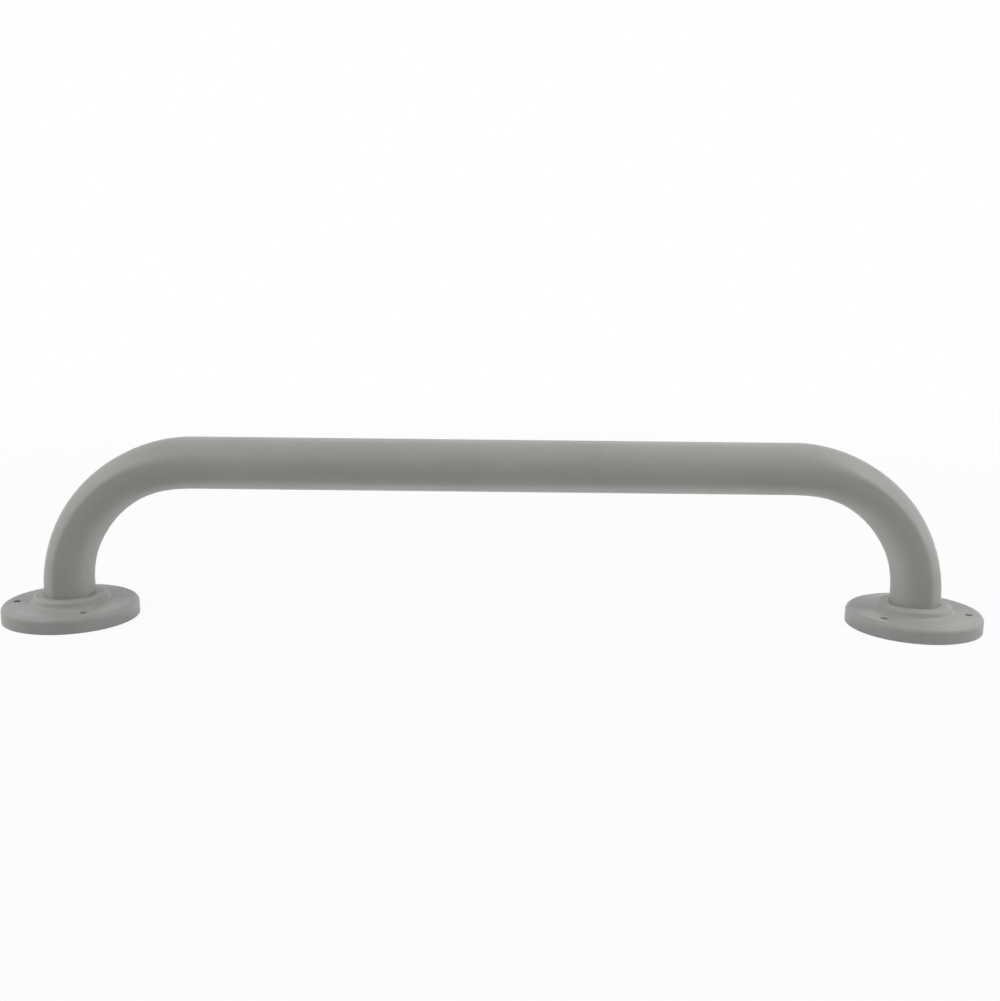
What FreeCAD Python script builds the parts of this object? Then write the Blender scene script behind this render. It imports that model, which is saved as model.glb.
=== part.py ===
import FreeCAD, Part
import math
import os
import Sketcher

V = FreeCAD.Vector

# Wall grab rail: one bent steel tube, with a pressed flange welded to the foot of each leg.
# Millimetres. The origin is on the wall face, midway between the two flanges.
# X runs along the hand bar, Y across it, and Z from the wall out to the bar.

# Driving sizes. Each one is a cell of the spreadsheet, under the same name.
sizes = {
    # bent tube
    "tube_diameter": 32.0,          # outside of the straight hand bar
    "tube_wall": 2.0,
    "leg_spacing": 528.0,           # from leg centre to leg centre
    "bar_height": 98.0,             # from the wall face to the centreline of the bar
    "tube_end_lift": 1.5,           # from the wall face to the cut end of each leg
    "leg_straight": 16.5,           # from that end to where the bend begins
    # what cold bending does to the section of the tube
    "belly_growth": 0.1,            # extra radius on the inner side, which lay in the former's groove
    "belly_shift": 2.2,             # how far that side moves outwards from the centreline
    "crown_drop": 3.1,              # how much lower the outer wall stands over the widest level
    "ridge_radius": 4.0,            # ridge along both sides, between the outer wall and the belly
    # pressed flange, from the tube outwards
    "flange_height": 10.0,          # from the wall face to the flat top
    "sheet_thickness": 3.0,
    "tube_clearance": 0.2,          # hairline between the neck and the leg
    "neck_ledge_width": 4.9,        # top of the raised neck, where the leg is widest, out to its side
    "neck_height": 4.8,             # from the flat top to the ledge
    "neck_crest_rounding": 2.6,
    "neck_foot_rounding": 2.0,
    "screw_land_width": 12.8,       # flat ring for the screw heads, from the neck's foot to the rim rounding
    "rim_rounding": 3.5,            # outside of the rim, where the sheet turns down
    "inside_rounding": 1.5,         # hidden corner under the rim
    # screw holes
    "screw_hole_diameter": 4.5,
    "screw_inset": 5.5,             # from a hole's centre to the outer end of the flat ring
    "hole_edge_rounding": 0.5,
    # weld on the hidden side
    "weld_size": 4.0,               # height and width of the bead
    "weld_nose": 0.8,               # how thick the bead still is at its foot
    "weld_clearance": 0.02,         # hairline between the bead and the tube
}
angles = {
    "neck_draft": 68.0,             # side of the neck against the flat top
    "crown_turn": 35.0,             # from the outermost point to the end of the crown's arc
    "facet_turn": 54.0,             # from there to where the ridge begins
    "belly_turn": 80.0,             # from there to where the belly begins
    # screw holes, counted from +X towards +Y
    "left_first_screw": 187.0,
    "left_second_screw": 302.5,
    "left_third_screw": 84.0,
    "right_first_screw": 219.5,
    "right_second_screw": 339.5,
    "right_third_screw": 99.5,
}
counts = {
    "bend_stations": 13,            # sections along each bend
}
# How the squash grows and fades along a bend, as shares of its length, and what is left of it in the leg.
grow_share = 0.4
fade_share = 0.25
leg_squash_share = 0.5
leg_ridge_share = 0.85
# How close two sizes count as the same, as a share of the tube's diameter.
match_share = 1e-4

doc = FreeCAD.newDocument("grab_rail")
sheet = doc.addObject("Spreadsheet::Sheet", "sheet")
sheet_rows = []


def write_cell(alias, value):
    sheet_rows.append(alias)
    row = len(sheet_rows)
    sheet.set("A%d" % row, alias.replace("_", " "))
    sheet.set("B%d" % row, str(value))
    sheet.setAlias("B%d" % row, alias)


def size(alias):
    return float(sheet.get(alias))


for alias, value in {**sizes, **angles, **counts}.items():
    write_cell(alias, value)
doc.recompute()

# centreline of each bend, which takes up the height that the leg's straight run leaves
bend_radius = size("bar_height") - size("tube_end_lift") - size("leg_straight")


# Tube section

def ease(x):
    x = min(max(x, 0.0), 1.0)
    return x * x * (3.0 - 2.0 * x)


def squash_at(travel, left_over):
    """0 in the round bar, 1 where the bend is fully squashed, left_over at its foot."""
    fade = ease((travel - (1.0 - fade_share)) / fade_share)
    return ease(travel / grow_share) * (1.0 - (1.0 - left_over) * fade)


def section_arcs(travel):
    """Outermost point, then each arc's radius and the turn of its end, once round the section."""
    squash = squash_at(travel, leg_squash_share)
    round_radius = size("tube_diameter") / 2
    belly = round_radius + squash * size("belly_growth")
    crown_height = round_radius - squash * size("crown_drop")
    ridge = round_radius + squash_at(travel, leg_ridge_share) * (size("ridge_radius") - round_radius)
    shift = squash * size("belly_shift")

    # the crown and facet radii that make the outer half close on the belly
    first, second, third = [math.radians(size(turn)) for turn in ("crown_turn", "facet_turn", "belly_turn")]
    across = belly * math.sin(third) - ridge * (math.sin(third) - math.sin(second))
    along = crown_height - belly * math.cos(third) - ridge * (math.cos(second) - math.cos(third))
    a, b = math.sin(first), math.sin(second) - math.sin(first)
    c, d = 1.0 - math.cos(first), math.cos(first) - math.cos(second)
    crown = (across * d - b * along) / (a * d - b * c)
    facet = (a * along - c * across) / (a * d - b * c)

    half, whole = math.pi, 2 * math.pi
    outer = [(crown, first), (facet, second), (ridge, third), (belly, half)]
    inner = [(belly, whole - third), (ridge, whole - second), (facet, whole - first), (crown, whole)]
    return shift + crown_height, outer + inner


def section_wire(travel, inset, place):
    """Wire of the section, inset by a wall. place turns (outwards, across) into a point."""
    outermost, arcs = section_arcs(travel)
    edges = []
    turn, start = 0.0, (outermost, 0.0)
    for radius, end_turn in arcs:
        centre = (start[0] - radius * math.cos(turn), start[1] - radius * math.sin(turn))

        def point(angle, reach):
            return (centre[0] + reach * math.cos(angle), centre[1] + reach * math.sin(angle))

        points = [point(t, radius - inset) for t in (turn, (turn + end_turn) / 2, end_turn)]
        edges.append(Part.Arc(*[place(*p) for p in points]).toShape())
        turn, start = end_turn, point(end_turn, radius)
    return Part.Wire(edges)


# Bent tube

def bend_place(side, travel):
    """Frame of a section in the bend on that side: travel 0 at the bar, 1 at the leg."""
    turn = travel * math.pi / 2
    middle = V(side * (size("leg_spacing") / 2 - bend_radius), 0, size("bar_height") - bend_radius)
    outwards = V(side * math.sin(turn), 0, math.cos(turn))

    def place(out, across):
        return middle + outwards * (bend_radius + out) + V(0, across, 0)
    return place


def prism(wire, way):
    return Part.Face(wire).extrude(way)


def tube_solid(inset, end_run):
    """The whole bent rod of that inset. end_run is how far each leg goes on past its cut end."""
    stations = int(size("bend_stations"))
    bar_way = V(size("leg_spacing") - 2 * bend_radius, 0, 0)
    leg_way = V(0, 0, -size("leg_straight") - end_run)
    pieces = [prism(section_wire(0.0, inset, bend_place(-1, 0.0)), bar_way)]
    for side in (-1, 1):
        travels = [i / (stations - 1) for i in range(stations)]
        wires = [section_wire(t, inset, bend_place(side, t)) for t in travels]
        pieces.append(Part.makeLoft(wires, True, False))
        pieces.append(prism(wires[-1], leg_way))
    return pieces[0].fuse(pieces[1:])


outside = doc.addObject("Part::Feature", "tube_outside")
outside.Shape = tube_solid(0.0, 0.0)
inside = doc.addObject("Part::Feature", "tube_inside")
inside.Shape = tube_solid(size("tube_wall"), size("tube_end_lift"))
grab_tube = doc.addObject("Part::Cut", "grab_tube")
grab_tube.Base, grab_tube.Tool = outside, inside
grab_tube.Refine = True
grab_tube.Label = "grab_tube"

# The furthest that the leg's section reaches from the leg's centreline: the radius of a ring round it, less
# the gap between the two.
leg_wire = section_wire(1.0, 0.0, lambda out, across: V(out, across, 0))
around = Part.Circle(V(0, 0, 0), V(0, 0, 1), size("tube_diameter")).toShape()
write_cell("leg_reach", size("tube_diameter") - around.distToShape(leg_wire)[0])
doc.recompute()


def leg_room(name, side, clearance):
    """The room that a leg takes up below its bend, with that clearance all round it."""
    room = doc.addObject("Part::Feature", name)
    wire = section_wire(1.0, -clearance, bend_place(side, 1.0))
    room.Shape = prism(wire, V(0, 0, bend_radius - size("bar_height")))
    return room


def cut_for_leg(name, body, side, clearance):
    cut = doc.addObject("Part::Cut", name)
    cut.Base, cut.Tool = body, leg_room(name + "_leg_room", side, clearance)
    cut.Label = name
    return cut


# Sketch and body helpers

def plane(body, role):
    return next(f for f in body.Origin.OriginFeatures if f.Role == role)


def new_body(name):
    body = doc.addObject("PartDesign::Body", name)
    body.Label = name
    return body


def new_sketch(body, name, role):
    sketch = body.newObject("Sketcher::SketchObject", name)
    sketch.AttachmentSupport = [(plane(body, role), "")]
    sketch.MapMode = "FlatFace"
    return sketch


def outline(sketch, points):
    """Closed outline through the points, each line joined to the next."""
    for i, start in enumerate(points):
        end = points[(i + 1) % len(points)]
        sketch.addGeometry(Part.LineSegment(V(*start, 0), V(*end, 0)))
    for i in range(len(points)):
        sketch.addConstraint(Sketcher.Constraint("Coincident", i, 2, (i + 1) % len(points), 1))


def tie(sketch, kind, *rest, name=None, to=None):
    """Adds a constraint, and binds it to a formula on the sheet."""
    index = sketch.addConstraint(Sketcher.Constraint(kind, *rest))
    if name:
        sketch.renameConstraint(index, name)
        sketch.setExpression("Constraints." + name, to)


fit_tolerance = match_share * size("tube_diameter")


def ring_edges(shape, radius, height):
    """Names of the round edges with that radius at that height."""
    found = []
    for i, edge in enumerate(shape.Edges, start=1):
        curve = edge.Curve
        if isinstance(curve, Part.Circle) and abs(curve.Radius - radius) < fit_tolerance:
            if abs(curve.Center.z - height) < fit_tolerance:
                found.append("Edge%d" % i)
    return found


def round_ring(body, name, radius, height, rounding):
    doc.recompute()
    tip = body.Tip
    fillet = body.newObject("PartDesign::Fillet", name)
    fillet.Base = (tip, ring_edges(tip.Shape, radius, height))
    fillet.setExpression("Radius", "sheet." + rounding)
    doc.recompute()
    return fillet


# Pressed flange: a disc drawn to a shallow dish, with a raised neck that is open to the leg's section

def make_flange(name, side, screws):
    body = new_body(name + "_pressing")
    profile = new_sketch(body, name + "_profile", "XZ_Plane")
    top, sheet_metal, draft = size("flange_height"), size("sheet_thickness"), math.radians(size("neck_draft"))
    under, ledge = top - sheet_metal, top + size("neck_height")

    # radii from the leg outwards, each with its formula
    neck = size("leg_reach") + size("tube_clearance") + size("neck_ledge_width")
    neck_at = "sheet.leg_reach + sheet.tube_clearance + sheet.neck_ledge_width"
    foot = neck + size("neck_height") / math.tan(draft)
    foot_at = neck_at + " + sheet.neck_height / tan(sheet.neck_draft * 1 deg)"
    land_end = foot + size("neck_foot_rounding") * math.tan(draft / 2) + size("screw_land_width")
    land_end_at = (foot_at + " + sheet.neck_foot_rounding * tan(sheet.neck_draft * 1 deg / 2)"
                   + " + sheet.screw_land_width")
    rim = land_end + size("rim_rounding")
    rim_at = land_end_at + " + sheet.rim_rounding"
    reach = land_end - size("screw_inset")
    reach_at = land_end_at + " - sheet.screw_inset"

    outline(profile, [(rim, 0), (rim, top), (foot, top), (neck, ledge), (0, ledge),
                      (0, under), (rim - sheet_metal, under), (rim - sheet_metal, 0)])
    for line in (0, 4, 6):
        tie(profile, "Vertical", line)
    for line in (1, 3, 5):
        tie(profile, "Horizontal", line)
    tie(profile, "PointOnObject", 0, 1, -1)
    tie(profile, "PointOnObject", 7, 1, -1)
    tie(profile, "DistanceX", -1, 1, 0, 1, rim, name="rim", to=rim_at)
    tie(profile, "DistanceY", -1, 1, 1, 1, top, name="top", to="sheet.flange_height")
    tie(profile, "DistanceX", -1, 1, 3, 1, neck, name="neck", to=neck_at)
    tie(profile, "DistanceY", -1, 1, 3, 1, ledge, name="ledge", to="sheet.flange_height + sheet.neck_height")
    tie(profile, "PointOnObject", 4, 1, -2)
    tie(profile, "DistanceY", -1, 1, 5, 1, under, name="under",
        to="sheet.flange_height - sheet.sheet_thickness")
    tie(profile, "DistanceX", -1, 1, 6, 1, rim - sheet_metal, name="skirt",
        to=rim_at + " - sheet.sheet_thickness")
    tie(profile, "Angle", 2, math.pi - draft, name="draft", to="180 deg - sheet.neck_draft * 1 deg")

    dish = body.newObject("PartDesign::Revolution", name + "_dish")
    dish.Profile = profile
    dish.ReferenceAxis = (profile, ["V_Axis"])
    dish.Angle = 360.0
    round_ring(body, name + "_rim_edge", rim, top, "rim_rounding")
    round_ring(body, name + "_neck_foot", foot, top, "neck_foot_rounding")
    round_ring(body, name + "_neck_crest", neck, ledge, "neck_crest_rounding")
    round_ring(body, name + "_inside_corner", rim - sheet_metal, under, "inside_rounding")

    holes = new_sketch(body, name + "_screw_holes", "XY_Plane")
    hole = size("screw_hole_diameter") / 2
    for i, screw in enumerate(screws):
        turn = math.radians(size(screw))
        x, y = reach * math.cos(turn), reach * math.sin(turn)
        holes.addGeometry(Part.Circle(V(x, y, 0), V(0, 0, 1), hole))
        tie(holes, "Radius", i, hole, name=screw + "_hole", to="sheet.screw_hole_diameter / 2")
        tie(holes, "DistanceX", -1, 1, i, 3, x, name=screw + "_x",
            to="(%s) * cos(sheet.%s * 1 deg)" % (reach_at, screw))
        tie(holes, "DistanceY", -1, 1, i, 3, y, name=screw + "_y",
            to="(%s) * sin(sheet.%s * 1 deg)" % (reach_at, screw))
    punch = body.newObject("PartDesign::Pocket", name + "_punch")
    punch.Profile = holes
    punch.Type = "ThroughAll"
    punch.Reversed = True
    round_ring(body, name + "_hole_edges", hole, top, "hole_edge_rounding")

    body.setExpression("Placement.Base.x", "%d * sheet.leg_spacing / 2" % side)
    return cut_for_leg(name, body, side, size("tube_clearance"))


# Weld: a bead round the leg, in the corner under the flange

def make_weld(name, side):
    bead = new_body(name + "_bead")
    profile = new_sketch(bead, name + "_profile", "XZ_Plane")
    under, bite = size("flange_height") - size("sheet_thickness"), size("weld_size")
    reach = size("leg_reach")
    root, toe, nose = reach - bite, reach + bite, reach + size("weld_nose")
    outline(profile, [(root, under), (toe, under), (nose, under - bite), (root, under - bite)])
    for line in (0, 2):
        tie(profile, "Horizontal", line)
    tie(profile, "Vertical", 3)
    tie(profile, "DistanceX", -1, 1, 0, 1, root, name="root", to="sheet.leg_reach - sheet.weld_size")
    tie(profile, "DistanceX", -1, 1, 1, 1, toe, name="toe", to="sheet.leg_reach + sheet.weld_size")
    tie(profile, "DistanceX", -1, 1, 2, 1, nose, name="nose", to="sheet.leg_reach + sheet.weld_nose")
    tie(profile, "DistanceY", -1, 1, 0, 1, under, name="under",
        to="sheet.flange_height - sheet.sheet_thickness")
    tie(profile, "DistanceY", -1, 1, 3, 1, under - bite, name="foot",
        to="sheet.flange_height - sheet.sheet_thickness - sheet.weld_size")
    turned = bead.newObject("PartDesign::Revolution", name + "_turned")
    turned.Profile = profile
    turned.ReferenceAxis = (profile, ["V_Axis"])
    turned.Angle = 360.0
    bead.setExpression("Placement.Base.x", "%d * sheet.leg_spacing / 2" % side)
    return cut_for_leg(name, bead, side, size("weld_clearance"))


pieces = [
    grab_tube,
    make_flange("left_flange", -1, ["left_first_screw", "left_second_screw", "left_third_screw"]),
    make_flange("right_flange", 1, ["right_first_screw", "right_second_screw", "right_third_screw"]),
    make_weld("left_weld", -1),
    make_weld("right_weld", 1),
]
doc.recompute()

failed = [o.Name for o in doc.Objects if {"Invalid", "Error"} & set(o.State)]
if failed:
    raise RuntimeError("these objects failed: " + ", ".join(failed))
for piece in pieces:
    if piece.Shape.isNull() or not piece.Shape.isValid() or len(piece.Shape.Solids) != 1:
        raise RuntimeError("%s isn't one valid solid" % piece.Label)

os.makedirs("parts", exist_ok=True)
for piece in pieces:
    piece.Shape.exportStep("parts/%s.step" % piece.Label)
    box = piece.Shape.BoundBox
    print("%-14s %9.0f mm3   X %7.1f %7.1f   Y %6.1f %6.1f   Z %6.1f %6.1f" % (
        piece.Label, piece.Shape.Volume, box.XMin, box.XMax, box.YMin, box.YMax, box.ZMin, box.ZMax))
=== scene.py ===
import math

import bmesh
import bpy
from mathutils import Matrix, Vector


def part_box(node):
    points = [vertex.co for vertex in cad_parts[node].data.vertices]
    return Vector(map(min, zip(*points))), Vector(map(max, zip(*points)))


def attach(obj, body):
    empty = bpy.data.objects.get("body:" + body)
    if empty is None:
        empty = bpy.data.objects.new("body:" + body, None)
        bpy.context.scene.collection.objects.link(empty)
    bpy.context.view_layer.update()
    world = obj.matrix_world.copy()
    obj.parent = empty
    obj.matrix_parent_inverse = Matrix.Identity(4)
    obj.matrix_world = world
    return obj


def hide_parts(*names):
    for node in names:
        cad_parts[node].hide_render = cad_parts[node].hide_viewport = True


# Wall grab rail in metres: a bent tube on two pressed flanges, all in one grey powder coat.
# It stands on its flanges on a pale floor, as if the floor were the wall.

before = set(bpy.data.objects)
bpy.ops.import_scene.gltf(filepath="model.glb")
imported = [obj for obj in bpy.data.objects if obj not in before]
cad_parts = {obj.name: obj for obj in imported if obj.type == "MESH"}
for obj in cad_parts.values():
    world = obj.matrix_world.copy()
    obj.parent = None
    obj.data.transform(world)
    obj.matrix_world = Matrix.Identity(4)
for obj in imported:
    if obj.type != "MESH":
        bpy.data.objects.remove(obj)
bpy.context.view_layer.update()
scene = bpy.context.scene
print("frame loaded:", ", ".join(sorted(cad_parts)))


# Small helpers for node trees

def feed(tree, socket, value):
    # another node's output is linked, and anything else is set
    if isinstance(value, bpy.types.NodeSocket):
        tree.links.new(value, socket)
    else:
        socket.default_value = value


def feedInputs(tree, node, inputs):
    # by the names that the node shows
    shown = {socket.name: socket for socket in node.inputs if socket.enabled}
    for name, value in inputs.items():
        feed(tree, shown[name], value)


def addNode(tree, kind, inputs=None, **settings):
    node = tree.nodes.new(kind)
    for name, value in settings.items():
        setattr(node, name, value)
    feedInputs(tree, node, inputs or {})
    return node


def mathNode(tree, operation, *values, kind="ShaderNodeMath"):
    node = addNode(tree, kind, operation=operation)
    for socket, value in zip(node.inputs, values):
        feed(tree, socket, value)
    return node.outputs["Value"]


def rangeNode(tree, value, given, wanted, kind="LINEAR"):
    # takes the first pair of numbers to the second
    inputs = {"Value": value, "From Min": given[0], "From Max": given[1],
              "To Min": wanted[0], "To Max": wanted[1]}
    return addNode(tree, "ShaderNodeMapRange", inputs, interpolation_type=kind).outputs["Result"]


def mixColours(tree, share, first, second, blend="MIX"):
    inputs = {"Factor": share, "A": first, "B": second}
    node = addNode(tree, "ShaderNodeMix", inputs, data_type="RGBA", blend_type=blend)
    return next(socket for socket in node.outputs if socket.enabled)


def noiseNode(tree, spot, waves, detail=2.0, roughness=0.5, seed=0.0):
    # waves are per metre, and the seed sets one pattern apart from another
    inputs = {"Vector": spot, "Scale": waves, "Detail": detail, "Roughness": roughness, "W": seed}
    return addNode(tree, "ShaderNodeTexNoise", inputs, noise_dimensions="4D").outputs[0]


def objectSpot(tree):
    return addNode(tree, "ShaderNodeTexCoord").outputs["Object"]


def splitVector(tree, vector):
    return addNode(tree, "ShaderNodeSeparateXYZ", {"Vector": vector}).outputs


def newGroup(name, inputs, outputs):
    kinds = {"value": "NodeSocketFloat", "colour": "NodeSocketColor"}
    tree = bpy.data.node_groups.new(name, "ShaderNodeTree")
    for side, labels in (("INPUT", inputs), ("OUTPUT", outputs)):
        for label, kind in labels.items():
            tree.interface.new_socket(label, in_out=side, socket_type=kinds[kind])
    start = tree.nodes.new("NodeGroupInput")
    end = tree.nodes.new("NodeGroupOutput")
    return tree, start.outputs, end.inputs


def newMaterial(name):
    material = bpy.data.materials.new(name)
    material.use_nodes = True
    tree = material.node_tree
    return material, tree, tree.nodes["Principled BSDF"]


# What a powder coat does wherever it lies: cloudy tone, orange peel, dust nibs and hand smears

skinPlan = {
    "cloudShare": 0.7,            # broad clouds in the change of tone, where a fine mottle has the rest
    "cloudDetail": 3.0,
    "cloudRoughness": 0.55,
    "mottleSize": 0.006,
    "mottleDetail": 2.0,
    "mottleSeed": 3.0,
    "toneSpread": (0.3, 0.7),     # noise values for the darkest and the lightest tone
    "smearSize": 0.022,           # across the bar
    "smearStretch": 0.35,         # waves along the bar against waves across it
    "smearDetail": 4.0,
    "smearRoughness": 0.6,
    "smearSeed": 7.0,
    "smearSpread": (0.35, 0.65),  # noise values for the glossiest and the dullest smear
    "peelDetail": 1.5,
    "peelRoughness": 0.4,
    "nibWaves": 120.0,            # cells per metre, with a nib in each
    "nibRadius": 0.09,            # as a share of a cell
}


def makeCoatSkin():
    inputs = {"Tone": "colour", "Tone Change": "value", "Cloud Waves": "value", "Peel Waves": "value",
              "Gloss Roughness": "value", "Smear Change": "value", "Nib Share": "value"}
    outputs = {"Colour": "colour", "Roughness": "value", "Height": "value"}
    tree, given, out = newGroup("coatSkin", inputs, outputs)
    spot = objectSpot(tree)

    # tone: broad clouds from uneven film thickness, and a fine mottle
    clouds = noiseNode(tree, spot, given["Cloud Waves"], skinPlan["cloudDetail"],
                       skinPlan["cloudRoughness"])
    mottle = noiseNode(tree, spot, 1.0 / skinPlan["mottleSize"], skinPlan["mottleDetail"],
                       seed=skinPlan["mottleSeed"])
    fine = mathNode(tree, "MULTIPLY", mottle, 1.0 - skinPlan["cloudShare"])
    both = mathNode(tree, "MULTIPLY_ADD", clouds, skinPlan["cloudShare"], fine)
    change = rangeNode(tree, both, skinPlan["toneSpread"], (-1.0, 1.0))
    lift = mathNode(tree, "MULTIPLY_ADD", change, given["Tone Change"], 1.0)
    feed(tree, out["Colour"], mixColours(tree, 1.0, given["Tone"], lift, "MULTIPLY"))

    # gloss: smears along the bar, stretched the way a hand slides
    stretch = {"Vector": spot, "Scale": (skinPlan["smearStretch"], 1.0, 1.0)}
    along = addNode(tree, "ShaderNodeMapping", stretch).outputs[0]
    smears = noiseNode(tree, along, 1.0 / skinPlan["smearSize"], skinPlan["smearDetail"],
                       skinPlan["smearRoughness"], skinPlan["smearSeed"])
    dulling = rangeNode(tree, smears, skinPlan["smearSpread"], (-1.0, 1.0))
    roughness = mathNode(tree, "MULTIPLY_ADD", dulling, given["Smear Change"], given["Gloss Roughness"])
    feed(tree, out["Roughness"], roughness)

    # height: orange peel with a few nibs of dust that the coat has covered
    peel = noiseNode(tree, spot, given["Peel Waves"], skinPlan["peelDetail"], skinPlan["peelRoughness"])
    cells = addNode(tree, "ShaderNodeTexVoronoi", {"Vector": spot, "Scale": skinPlan["nibWaves"]})
    away = cells.outputs["Distance"]
    nibs = rangeNode(tree, away, (0.0, skinPlan["nibRadius"]), (1.0, 0.0), "SMOOTHSTEP")
    feed(tree, out["Height"], mathNode(tree, "MULTIPLY_ADD", nibs, given["Nib Share"], peel))
    return tree


# Thin coat on sharp edges, where the flat face and a rounded copy of it look different ways

edgePlan = {
    "samples": 4,
    "turnSpread": (0.985, 0.8),   # cosines of the turn where the edge starts and where it is full
    "patchDetail": 3.0,
    "patchSpread": (0.4, 0.62),   # noise values for the faintest and the fullest patch
    "faintest": 0.2,
}


def makeEdgeWear():
    inputs = {"Width": "value", "Amount": "value", "Patch Size": "value"}
    tree, given, out = newGroup("edgeWear", inputs, {"Mask": "value"})
    rounded = addNode(tree, "ShaderNodeBevel", {"Radius": given["Width"]}, samples=edgePlan["samples"])
    face = addNode(tree, "ShaderNodeNewGeometry")
    alike = mathNode(tree, "DOT_PRODUCT", rounded.outputs[0], face.outputs["True Normal"],
                     kind="ShaderNodeVectorMath")
    edge = rangeNode(tree, alike, edgePlan["turnSpread"], (0.0, 1.0), "SMOOTHSTEP")
    waves = mathNode(tree, "DIVIDE", 1.0, given["Patch Size"])
    noise = noiseNode(tree, objectSpot(tree), waves, edgePlan["patchDetail"])
    patches = rangeNode(tree, noise, edgePlan["patchSpread"], (edgePlan["faintest"], 1.0), "SMOOTHSTEP")
    worn = mathNode(tree, "MULTIPLY", edge, patches)
    feed(tree, out["Mask"], mathNode(tree, "MULTIPLY", worn, given["Amount"]))
    return tree


coatSkin = makeCoatSkin()
edgeWear = makeEdgeWear()
print("shader groups built")


# Powder coat. The flanges carry a touch more of it than the tube, because they lie flat in the booth.

tubeCoat = {
    "tone": (0.342, 0.3465, 0.3275),
    "toneChange": 0.05,           # as a share
    "cloudWaves": 22.0,           # per metre
    "peelWaves": 650.0,           # per metre
    "peelHeight": 0.00005,
    "nibShare": 0.3,              # height of a covered dust nib against the orange peel
    "roughness": 0.38,
    "smearChange": 0.06,          # in roughness, either way
    "specular": 0.18,
    "thinTone": (0.27, 0.265, 0.25),    # where the coat is thin on an edge
    "thinWidth": 0.0005,
    "thinAmount": 0.6,
    "thinPatchSize": 0.003,
    "thinDulling": 0.1,           # added to the roughness
}
flangeCoat = {
    "tone": (0.342, 0.346, 0.331),
    "toneChange": 0.06,
    "cloudWaves": 35.0,
    "peelWaves": 520.0,
    "peelHeight": 0.00007,
    "nibShare": 0.45,
    "roughness": 0.40,
    "smearChange": 0.03,
    "specular": 0.18,
    "thinTone": (0.26, 0.255, 0.24),
    "thinWidth": 0.0005,
    "thinAmount": 0.55,
    "thinPatchSize": 0.0025,
    "thinDulling": 0.12,
}
# bare metal inside the open ends of the tube, within that radius of a leg's centreline and that height
steelInside = {"tone": (0.36, 0.33, 0.30), "radius": 0.0146, "height": 0.03}


def makeCoat(name, plan):
    material, tree, shader = newMaterial(name)
    skinValues = {
        "Tone": (*plan["tone"], 1.0),
        "Tone Change": plan["toneChange"],
        "Cloud Waves": plan["cloudWaves"],
        "Peel Waves": plan["peelWaves"],
        "Gloss Roughness": plan["roughness"],
        "Smear Change": plan["smearChange"],
        "Nib Share": plan["nibShare"],
    }
    wearValues = {
        "Width": plan["thinWidth"],
        "Amount": plan["thinAmount"],
        "Patch Size": plan["thinPatchSize"],
    }
    skin = addNode(tree, "ShaderNodeGroup", skinValues, node_tree=coatSkin).outputs
    thin = addNode(tree, "ShaderNodeGroup", wearValues, node_tree=edgeWear).outputs["Mask"]
    bump = addNode(tree, "ShaderNodeBump", {"Distance": plan["peelHeight"], "Height": skin["Height"]})
    feedInputs(tree, shader, {
        "Base Color": mixColours(tree, thin, skin["Colour"], (*plan["thinTone"], 1.0)),
        "Roughness": mathNode(tree, "MULTIPLY_ADD", thin, plan["thinDulling"], skin["Roughness"]),
        "Normal": bump.outputs[0],
        "Specular IOR Level": plan["specular"],
    })
    return material


def nearLegs(tree, place, radius):
    # 1 within that radius of either leg's centreline, 0 elsewhere
    low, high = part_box("right_flange")
    legX = (low[0] + high[0]) / 2
    along = mathNode(tree, "SUBTRACT", mathNode(tree, "ABSOLUTE", place["X"]), legX)
    across = mathNode(tree, "MULTIPLY", place["Y"], place["Y"])
    return mathNode(tree, "LESS_THAN", mathNode(tree, "MULTIPLY_ADD", along, along, across), radius ** 2)


def bareInside(material):
    tree = material.node_tree
    shader = tree.nodes["Principled BSDF"]
    place = splitVector(tree, objectSpot(tree))
    low = mathNode(tree, "LESS_THAN", place["Z"], steelInside["height"])
    bare = mathNode(tree, "MULTIPLY", nearLegs(tree, place, steelInside["radius"]), low)
    coat = shader.inputs["Base Color"].links[0].from_socket
    feedInputs(tree, shader, {
        "Base Color": mixColours(tree, bare, coat, (*steelInside["tone"], 1.0)),
        "Metallic": bare,
    })


tubeMaterial = makeCoat("coatOnTube", tubeCoat)
bareInside(tubeMaterial)
flangeMaterial = makeCoat("coatOnFlanges", flangeCoat)
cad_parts["grab_tube"].material_slots[0].material = tubeMaterial
for node in ("left_flange", "right_flange"):
    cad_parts[node].material_slots[0].material = flangeMaterial
print("tube and flanges coated")


# Weld beads on the hidden side, each a ring in the corner between leg and flange

beadPlan = {
    "coreRadius": 0.0170,         # from the leg's centre to the middle of the bead
    "thickness": 0.0044,
    "roundSegments": 14,
    "steps": 420,                 # round the leg
    "ripples": 52,
    "rippleDepth": 0.00022,
    "rippleLean": 1.6,            # 1 is a straight rise, and more is a later and steeper one
    "startTurn": 2.1,             # where the weld begins and ends, in radians
    "startSwell": 0.0003,
    "startWidth": 0.16,           # in radians
    "mergeWithin": 1e-6,
}
beadCoat = {
    "tone": (0.311, 0.314, 0.298),
    "toneChange": 0.07,
    "cloudWaves": 90.0,
    "peelWaves": 420.0,
    "peelHeight": 0.00008,
    "nibShare": 0.9,
    "roughness": 0.46,
    "smearChange": 0.02,
    "specular": 0.18,
    "thinTone": (0.25, 0.245, 0.23),
    "thinWidth": 0.0003,
    "thinAmount": 0.4,
    "thinPatchSize": 0.002,
    "thinDulling": 0.1,
}
beadMaterial = makeCoat("coatOverWeld", beadCoat)


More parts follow.
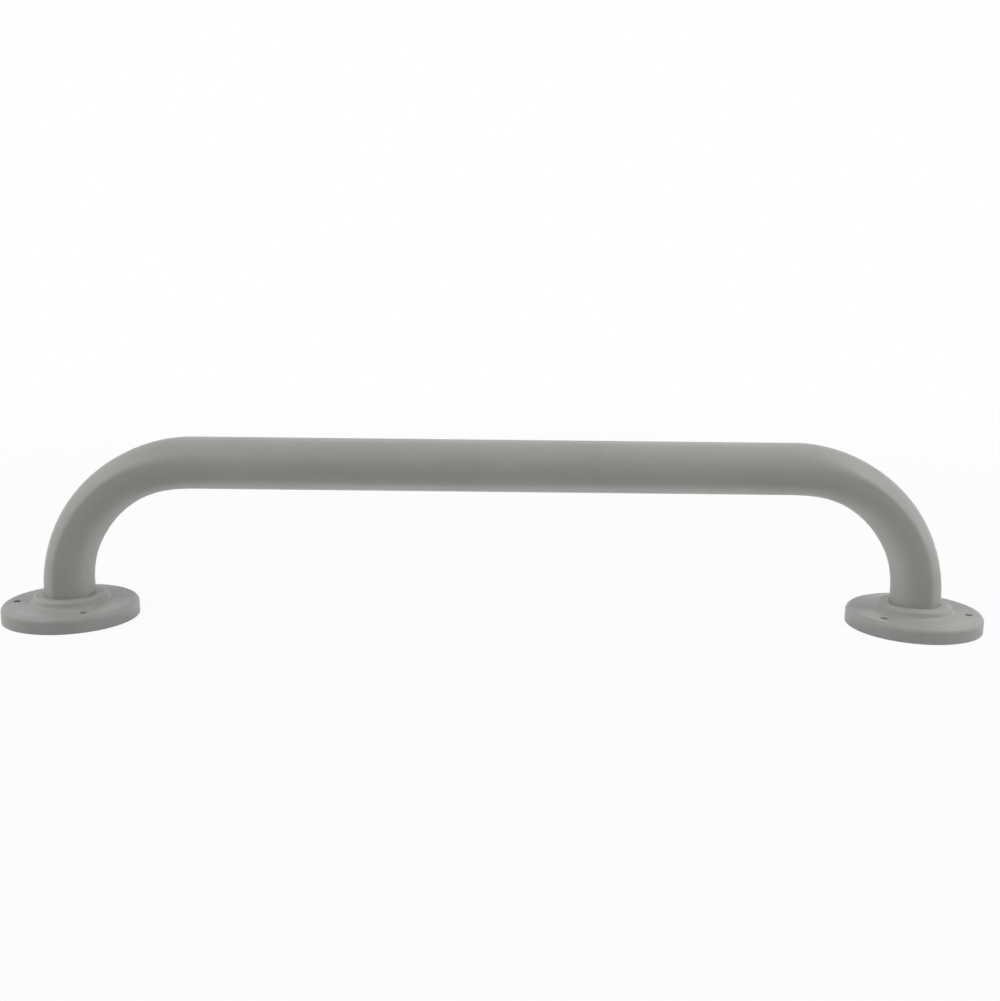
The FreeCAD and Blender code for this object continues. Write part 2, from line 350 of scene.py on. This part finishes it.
def rippleOut(turn):
    # each ripple rises slowly and falls off sharply, as a weld pool freezes
    phase = (turn / (2 * math.pi) * beadPlan["ripples"]) % 1.0
    ripple = beadPlan["rippleDepth"] * (phase ** beadPlan["rippleLean"] - 0.5)
    apart = math.remainder(turn - beadPlan["startTurn"], 2 * math.pi)
    return ripple + beadPlan["startSwell"] * math.exp(-(apart / beadPlan["startWidth"]) ** 2)


def makeBead(name, node, flip):
    # a flip of -1 runs the weld the other way round
    low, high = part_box(node)
    centre = Vector(((low[0] + high[0]) / 2, (low[1] + high[1]) / 2, low[2] + beadPlan["thickness"] / 2))
    # lifted by its ripples, so that none reaches lower than the CAD's bead
    centre.z += beadPlan["rippleDepth"] + beadPlan["startSwell"]
    shape = bmesh.new()
    bmesh.ops.create_circle(shape, segments=beadPlan["roundSegments"], radius=beadPlan["thickness"] / 2)
    bmesh.ops.rotate(shape, verts=shape.verts, cent=(0, 0, 0), matrix=Matrix.Rotation(math.pi / 2, 3, "X"))
    bmesh.ops.translate(shape, verts=shape.verts, vec=(beadPlan["coreRadius"], 0, 0))
    bmesh.ops.spin(shape, geom=shape.verts[:] + shape.edges[:], cent=(0, 0, 0), axis=(0, 0, 1),
                   angle=2 * math.pi, steps=beadPlan["steps"], use_merge=True)
    bmesh.ops.remove_doubles(shape, verts=shape.verts, dist=beadPlan["mergeWithin"])
    bmesh.ops.recalc_face_normals(shape, faces=shape.faces)
    for vert in shape.verts:
        turn = math.atan2(vert.co.y, vert.co.x)
        core = Vector((math.cos(turn), math.sin(turn), 0)) * beadPlan["coreRadius"]
        out = (vert.co - core).normalized()
        vert.co += out * rippleOut(turn * flip)
    bmesh.ops.translate(shape, verts=shape.verts, vec=centre)
    mesh = bpy.data.meshes.new(name)
    shape.to_mesh(mesh)
    shape.free()
    mesh.shade_smooth()
    mesh.materials.append(beadMaterial)
    bead = bpy.data.objects.new(name, mesh)
    scene.collection.objects.link(bead)
    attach(bead, "root")
    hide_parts(node)
    return bead


beads = [
    makeBead("leftWeldBead", "left_weld", 1),
    makeBead("rightWeldBead", "right_weld", -1),
]
print("weld beads made")


# Camera, a little above the bar and square on to it

cameraPlan = {
    "place": (0.00643, -0.69302, 0.21228),
    "turn": 0.00296,              # angles in radians
    "downTilt": 0.19357,
    "roll": 0.01022,
    "lens": 41.27,                # millimetres
    "clipStart": 0.01,
}


def addCamera():
    data = bpy.data.cameras.new("camera")
    data.lens = cameraPlan["lens"]
    data.clip_start = cameraPlan["clipStart"]
    camera = bpy.data.objects.new("camera", data)
    scene.collection.objects.link(camera)
    camera.matrix_world = (Matrix.Translation(cameraPlan["place"])
                           @ Matrix.Rotation(cameraPlan["turn"], 4, "Z")
                           @ Matrix.Rotation(math.pi / 2 - cameraPlan["downTilt"], 4, "X")
                           @ Matrix.Rotation(cameraPlan["roll"], 4, "Z"))
    scene.camera = camera


addCamera()
print("camera placed")


# White floor. What the camera, gloss and glass see of it is mostly a plain white.

floorPlan = {
    "size": 16.0,
    "tone": (0.6, 0.6, 0.6),
    "roughness": 0.9,
    "specular": 0.1,
    "whiteNear": 0.95,            # share of plain white, which rises to 1 away from the object
    "whiteSpread": (0.4, 1.6),    # from the middle of the object, where that rise begins and ends
    "darkRadius": 0.038,          # round each leg, within the flange's rim
}


def seenDirectly(tree):
    # 1 for the rays of the camera, gloss and glass, 0 for light that the object receives
    path = addNode(tree, "ShaderNodeLightPath").outputs
    either = mathNode(tree, "MAXIMUM", path["Is Camera Ray"], path["Is Glossy Ray"])
    return mathNode(tree, "MAXIMUM", either, path["Is Transmission Ray"])


def addFloor():
    shape = bmesh.new()
    bmesh.ops.create_grid(shape, x_segments=1, y_segments=1, size=floorPlan["size"] / 2)
    mesh = bpy.data.meshes.new("floor")
    shape.to_mesh(mesh)
    shape.free()
    floor = bpy.data.objects.new("floor", mesh)
    scene.collection.objects.link(floor)
    material, tree, shader = newMaterial("floorWhite")
    feedInputs(tree, shader, {
        "Base Color": (*floorPlan["tone"], 1.0),
        "Roughness": floorPlan["roughness"],
        "Specular IOR Level": floorPlan["specular"],
    })
    away = mathNode(tree, "LENGTH", objectSpot(tree), kind="ShaderNodeVectorMath")
    white = rangeNode(tree, away, floorPlan["whiteSpread"], (floorPlan["whiteNear"], 1.0), "SMOOTHSTEP")
    # but dark under the flanges, where the floor shows through the screw holes
    covered = nearLegs(tree, splitVector(tree, objectSpot(tree)), floorPlan["darkRadius"])
    shown = mathNode(tree, "MULTIPLY", seenDirectly(tree), mathNode(tree, "SUBTRACT", 1.0, covered))
    glow = addNode(tree, "ShaderNodeEmission")
    mix = addNode(tree, "ShaderNodeMixShader")
    feed(tree, mix.inputs[0], mathNode(tree, "MULTIPLY", shown, white))
    feed(tree, mix.inputs[1], shader.outputs[0])
    feed(tree, mix.inputs[2], glow.outputs[0])
    feedInputs(tree, tree.nodes["Material Output"], {"Surface": mix.outputs[0]})
    mesh.materials.append(material)


# Soft light from both sides, the back and high in front on the left. All the panels are wide and far off.

panels = {
    # degrees round the object from +X, degrees up from the floor, size in metres, power in watts
    "leftLow": {"round": 180, "up": 10, "size": (3.0, 1.2), "power": 14.0},
    "leftHigh": {"round": 180, "up": 35, "size": (3.0, 2.0), "power": 46.0},
    "rightLow": {"round": 0, "up": 10, "size": (3.0, 1.2), "power": 27.0},
    "rightHigh": {"round": 0, "up": 35, "size": (3.0, 2.0), "power": 40.0},
    "rightTop": {"round": 0, "up": 60, "size": (3.0, 2.0), "power": 28.0},
    "back": {"round": 90, "up": 45, "size": (3.0, 2.0), "power": 15.0},
    "frontLeft": {"round": 220, "up": 40, "size": (2.0, 1.6), "power": 64.0},
}
panelPlan = {"distance": 4.0, "aim": (0.0, 0.0, 0.05)}
nearLamps = {
    "rightKey": {
        "place": (1.1, -0.5, 0.9),
        "aim": (0.0, 0.0, 0.05),
        "size": (0.35, 0.35),
        "power": 5.0,
    },
    # lies on the floor under the bar and shines up at it
    "underStrip": {
        "place": (0.0, 0.0, 0.003),
        "aim": (0.0, 0.0, 0.1),
        "size": (0.42, 0.05),
        "power": 0.095,
    },
}


def addLamp(name, place, aim, size, power):
    data = bpy.data.lights.new(name, "AREA")
    data.shape = "RECTANGLE"
    data.size, data.size_y = size
    data.energy = power
    lamp = bpy.data.objects.new(name, data)
    scene.collection.objects.link(lamp)
    way = Vector(aim) - Vector(place)
    lamp.matrix_world = Matrix.Translation(place) @ way.to_track_quat("-Z", "Y").to_matrix().to_4x4()


def addLamps():
    for name, panel in panels.items():
        turn, rise = math.radians(panel["round"]), math.radians(panel["up"])
        way = Vector((math.cos(rise) * math.cos(turn), math.cos(rise) * math.sin(turn), math.sin(rise)))
        addLamp(name, way * panelPlan["distance"], panelPlan["aim"], panel["size"], panel["power"])
    for name, lamp in nearLamps.items():
        addLamp(name, **lamp)


# The room gives no light. It is white where it is seen, and darker in front for what the gloss sees.

roomPlan = {
    "frontShade": 0.7,            # how much darker it is straight in front
    "shadeSpread": (0.0, 0.6),    # how far to the front a direction points, from no shade to the full one
}


def setRoom():
    world = bpy.data.worlds.new("room")
    scene.world = world
    world.use_nodes = True
    tree = world.node_tree
    way = splitVector(tree, addNode(tree, "ShaderNodeTexCoord").outputs["Generated"])
    front = mathNode(tree, "MULTIPLY", way["Y"], -1.0)
    shade = rangeNode(tree, front, roomPlan["shadeSpread"], (0.0, roomPlan["frontShade"]), "SMOOTHSTEP")
    glossy = addNode(tree, "ShaderNodeLightPath").outputs["Is Glossy Ray"]
    dimming = mathNode(tree, "MULTIPLY", shade, glossy)
    feedInputs(tree, tree.nodes["Background"], {
        "Color": (1.0, 1.0, 1.0, 1.0),
        "Strength": mathNode(tree, "SUBTRACT", seenDirectly(tree), dimming),
    })


addFloor()
addLamps()
setRoom()
scene.view_settings.view_transform = "Standard"
print("floor, lamps and room set")

print("finished:", len(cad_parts), "nodes and", len(beads), "weld beads")
